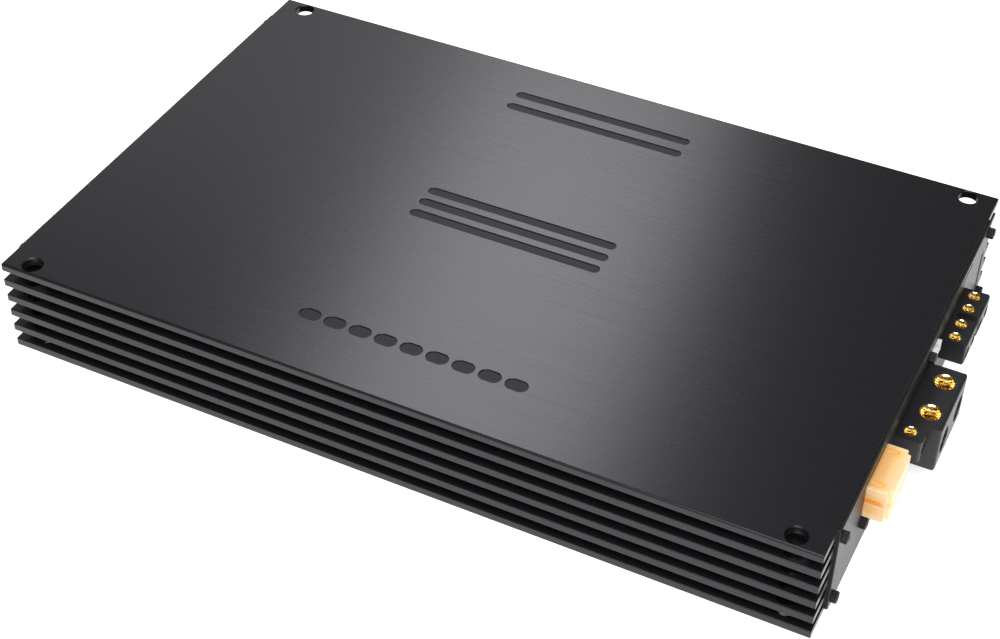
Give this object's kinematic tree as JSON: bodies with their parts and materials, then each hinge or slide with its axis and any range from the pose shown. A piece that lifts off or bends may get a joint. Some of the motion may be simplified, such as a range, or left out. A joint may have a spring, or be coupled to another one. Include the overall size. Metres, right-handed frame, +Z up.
{
  "type": "car amplifier",
  "caption": "Car audio power amplifier: finned black aluminium case, screw terminals and blade fuses on one end, line jacks and rotary controls on the other.",
  "frame": {"origin": "centre of the four mounting holes, on the plane that the bottom flanges stand on", "axes": "+X along the case towards the power terminals, +Y across it, +Z up out of the brushed top plate"},
  "size_m": [0.4301, 0.257, 0.05],
  "materials": {
    "anodised_black": "fine brushed, black anodised, satin",
    "panel_black": "black powder coat, semi-gloss",
    "zinc_plate": "zinc plated, satin",
    "black_screws": "black oxide, satin",
    "terminal_plastic": "moulded black, satin",
    "gold_brass": "gold plated, polished",
    "fuse_plastic": "translucent amber, moulded",
    "fuse_metal": "zinc alloy",
    "holder_plastic": "glass filled black",
    "white_nylon": "natural nylon",
    "red_plastic": "moulded",
    "board_laminate": "solder mask over glass laminate",
    "spacer_brass": "turned",
    "package_black": "moulded epoxy",
    "pad_grey": "silicone sheet",
    "spring_steel": "bright",
    "ferrite": "coated ferrite",
    "copper_wire": "enamelled copper",
    "capacitor_sleeve": "dark sleeve",
    "knob_plastic": "moulded black",
    "lamp_green": "tinted lens",
    "lamp_red": "tinted lens"
  },
  "bodies": {
    "case": {"board_bracket": "zinc_plate", "board_screws": "zinc_plate", "board_spacers": "spacer_brass", "bottom_plate": "panel_black", "bottom_plate_screws": "black_screws", "capacitors": "capacitor_sleeve", "clamp_screws": "zinc_plate", "coil_cores": "ferrite", "coil_windings": "copper_wire", "control_panel": "panel_black", "control_panel_screws": "black_screws", "control_pots": "holder_plastic", "fuse_clips": "gold_brass", "fuse_holder": "holder_plastic", "heatsink_cover": "anodised_black", "insulating_pads": "pad_grey", "level_socket": "white_nylon", "level_socket_pins": "gold_brass", "line_jack_body": "holder_plastic", "line_jack_cores_red": "red_plastic", "line_jack_cores_white": "white_nylon", "line_jack_shells": "gold_brass", "main_board": "board_laminate", "power_contact_1": "gold_brass", "power_contact_2": "gold_brass", "power_lamp": "lamp_green", "power_terminal_housing": "terminal_plastic", "power_transistors": "package_black", "protect_lamp": "lamp_red", "remote_contact": "gold_brass", "speaker_contacts": "gold_brass", "speaker_terminal_housing": "terminal_plastic", "switch_bodies": "zinc_plate", "terminal_panel": "panel_black", "terminal_panel_screws": "black_screws", "transistor_clamps": "spring_steel"},
    "power_1_clamp": {"power_1_pressure_plate": "gold_brass"},
    "power_1_screw_body": {"power_1_screw": "gold_brass"},
    "power_2_clamp": {"power_2_pressure_plate": "gold_brass"},
    "power_2_screw_body": {"power_2_screw": "gold_brass"},
    "remote_clamp": {"remote_pressure_plate": "gold_brass"},
    "remote_screw_body": {"remote_screw": "gold_brass"},
    "speaker_1_clamp": {"speaker_1_pressure_plate": "gold_brass"},
    "speaker_1_screw_body": {"speaker_1_screw": "gold_brass"},
    "speaker_2_clamp": {"speaker_2_pressure_plate": "gold_brass"},
    "speaker_2_screw_body": {"speaker_2_screw": "gold_brass"},
    "speaker_3_clamp": {"speaker_3_pressure_plate": "gold_brass"},
    "speaker_3_screw_body": {"speaker_3_screw": "gold_brass"},
    "speaker_4_clamp": {"speaker_4_pressure_plate": "gold_brass"},
    "speaker_4_screw_body": {"speaker_4_screw": "gold_brass"},
    "fuse_1": {"fuse_1_body": "fuse_plastic", "fuse_1_blades": "fuse_metal"},
    "fuse_2": {"fuse_2_body": "fuse_plastic", "fuse_2_blades": "fuse_metal"},
    "gain_control": {"gain_knob": "knob_plastic"},
    "low_pass_control": {"low_pass_knob": "knob_plastic"},
    "subsonic_control": {"subsonic_knob": "knob_plastic"},
    "bass_boost_control": {"bass_boost_knob": "knob_plastic"},
    "phase_switch": {"phase_switch_lever": "knob_plastic"},
    "mode_switch": {"mode_switch_lever": "knob_plastic"}
  },
  "joints": [
    {"name": "power_1_clamp_travel", "type": "slide", "parent": "case", "child": "power_1_clamp", "axis": [0, 0, 1], "range_m": [-0.0055, 0.0034]},
    {"name": "power_1_screw_turn", "type": "hinge", "parent": "power_1_clamp", "child": "power_1_screw_body", "pos_m": [0.2112, -0.0142, 0.031], "axis": [0, 0, 1], "range_deg": [-1322, 818]},
    {"name": "power_2_clamp_travel", "type": "slide", "parent": "case", "child": "power_2_clamp", "axis": [0, 0, 1], "range_m": [-0.0055, 0.0034]},
    {"name": "power_2_screw_turn", "type": "hinge", "parent": "power_2_clamp", "child": "power_2_screw_body", "pos_m": [0.2112, 0.0074, 0.031], "axis": [0, 0, 1], "range_deg": [-1322, 818]},
    {"name": "remote_clamp_travel", "type": "slide", "parent": "case", "child": "remote_clamp", "axis": [0, 0, 1], "range_m": [-0.0013, 0.0024]},
    {"name": "remote_screw_turn", "type": "hinge", "parent": "remote_clamp", "child": "remote_screw_body", "pos_m": [0.2068, -0.0293, 0.031], "axis": [0, 0, 1], "range_deg": [-587, 1082]},
    {"name": "speaker_1_clamp_travel", "type": "slide", "parent": "case", "child": "speaker_1_clamp", "axis": [0, 0, 1], "range_m": [-0.0013, 0.0024]},
    {"name": "speaker_1_screw_turn", "type": "hinge", "parent": "speaker_1_clamp", "child": "speaker_1_screw_body", "pos_m": [0.2068, 0.0388, 0.031], "axis": [0, 0, 1], "range_deg": [-587, 1082]},
    {"name": "speaker_2_clamp_travel", "type": "slide", "parent": "case", "child": "speaker_2_clamp", "axis": [0, 0, 1], "range_m": [-0.0013, 0.0024]},
    {"name": "speaker_2_screw_turn", "type": "hinge", "parent": "speaker_2_clamp", "child": "speaker_2_screw_body", "pos_m": [0.2068, 0.0486, 0.031], "axis": [0, 0, 1], "range_deg": [-587, 1082]},
    {"name": "speaker_3_clamp_travel", "type": "slide", "parent": "case", "child": "speaker_3_clamp", "axis": [0, 0, 1], "range_m": [-0.0013, 0.0024]},
    {"name": "speaker_3_screw_turn", "type": "hinge", "parent": "speaker_3_clamp", "child": "speaker_3_screw_body", "pos_m": [0.2068, 0.0606, 0.031], "axis": [0, 0, 1], "range_deg": [-587, 1082]},
    {"name": "speaker_4_clamp_travel", "type": "slide", "parent": "case", "child": "speaker_4_clamp", "axis": [0, 0, 1], "range_m": [-0.0013, 0.0024]},
    {"name": "speaker_4_screw_turn", "type": "hinge", "parent": "speaker_4_clamp", "child": "speaker_4_screw_body", "pos_m": [0.2068, 0.0704, 0.031], "axis": [0, 0, 1], "range_deg": [-587, 1082]},
    {"name": "fuse_1_pull", "type": "slide", "parent": "case", "child": "fuse_1", "axis": [1, 0, 0], "range_m": [0, 0.026]},
    {"name": "fuse_2_pull", "type": "slide", "parent": "case", "child": "fuse_2", "axis": [1, 0, 0], "range_m": [0, 0.026]},
    {"name": "gain_turn", "type": "hinge", "parent": "case", "child": "gain_control", "pos_m": [-0.205, -0.004, 0.024], "axis": [-1, 0, 0], "range_deg": [-140, 140]},
    {"name": "low_pass_turn", "type": "hinge", "parent": "case", "child": "low_pass_control", "pos_m": [-0.205, 0.018, 0.024], "axis": [-1, 0, 0], "range_deg": [-140, 140]},
    {"name": "subsonic_turn", "type": "hinge", "parent": "case", "child": "subsonic_control", "pos_m": [-0.205, 0.04, 0.024], "axis": [-1, 0, 0], "range_deg": [-140, 140]},
    {"name": "bass_boost_turn", "type": "hinge", "parent": "case", "child": "bass_boost_control", "pos_m": [-0.205, 0.062, 0.024], "axis": [-1, 0, 0], "range_deg": [-140, 140]},
    {"name": "phase_switch_slide", "type": "slide", "parent": "case", "child": "phase_switch", "axis": [0, 1, 0], "range_m": [0, 0.004]},
    {"name": "mode_switch_slide", "type": "slide", "parent": "case", "child": "mode_switch", "axis": [0, 1, 0], "range_m": [0, 0.004]}
  ],
  "couplings": [
    {"joint": "power_1_screw_turn", "follows": "power_1_clamp_travel", "rad_per_m": 4188.8},
    {"joint": "power_2_screw_turn", "follows": "power_2_clamp_travel", "rad_per_m": 4188.8},
    {"joint": "remote_screw_turn", "follows": "remote_clamp_travel", "rad_per_m": 7854},
    {"joint": "speaker_1_screw_turn", "follows": "speaker_1_clamp_travel", "rad_per_m": 7854},
    {"joint": "speaker_2_screw_turn", "follows": "speaker_2_clamp_travel", "rad_per_m": 7854},
    {"joint": "speaker_3_screw_turn", "follows": "speaker_3_clamp_travel", "rad_per_m": 7854},
    {"joint": "speaker_4_screw_turn", "follows": "speaker_4_clamp_travel", "rad_per_m": 7854}
  ]
}
